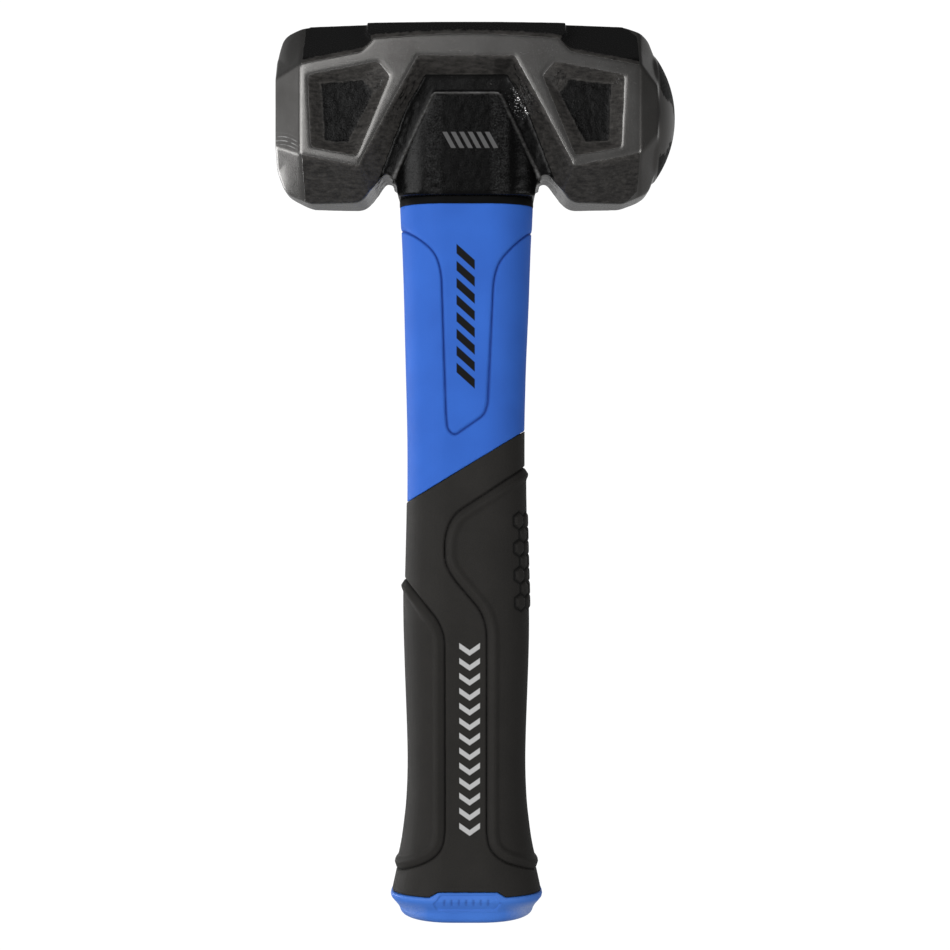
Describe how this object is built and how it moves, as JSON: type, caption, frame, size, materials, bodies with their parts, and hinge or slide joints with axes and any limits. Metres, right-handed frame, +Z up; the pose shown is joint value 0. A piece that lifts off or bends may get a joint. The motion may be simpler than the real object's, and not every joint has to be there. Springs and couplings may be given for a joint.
{
  "type": "lump hammer",
  "caption": "Short-handled club hammer: forged black head, one flat and one domed face, glass-fibre core in a blue sleeve, black soft grip and blue butt cap.",
  "frame": {"origin": "centre of the flat bottom of the butt cap", "axes": "+Z up the handle to the head, +X along the head to its domed face, +Y through the head's depth; the grip's raised pattern faces -Y and +Y alike"},
  "size_m": [0.1165, 0.045, 0.26],
  "materials": {
    "forged_steel": "black lacquer on forged steel, satin on the ground flats",
    "resin": "cast epoxy, dull",
    "glass_fibre": "sawn pultruded bar",
    "collar_black": "matt",
    "sleeve_blue": "satin moulded",
    "grip_black": "fine matt texture",
    "cap_blue": "satin moulded"
  },
  "bodies": {
    "root": {"head": "forged_steel", "eye_resin": "resin", "shaft_core": "glass_fibre", "neck_collar": "collar_black", "sleeve": "sleeve_blue", "grip": "grip_black", "butt_cap": "cap_blue"}
  },
  "joints": []
}
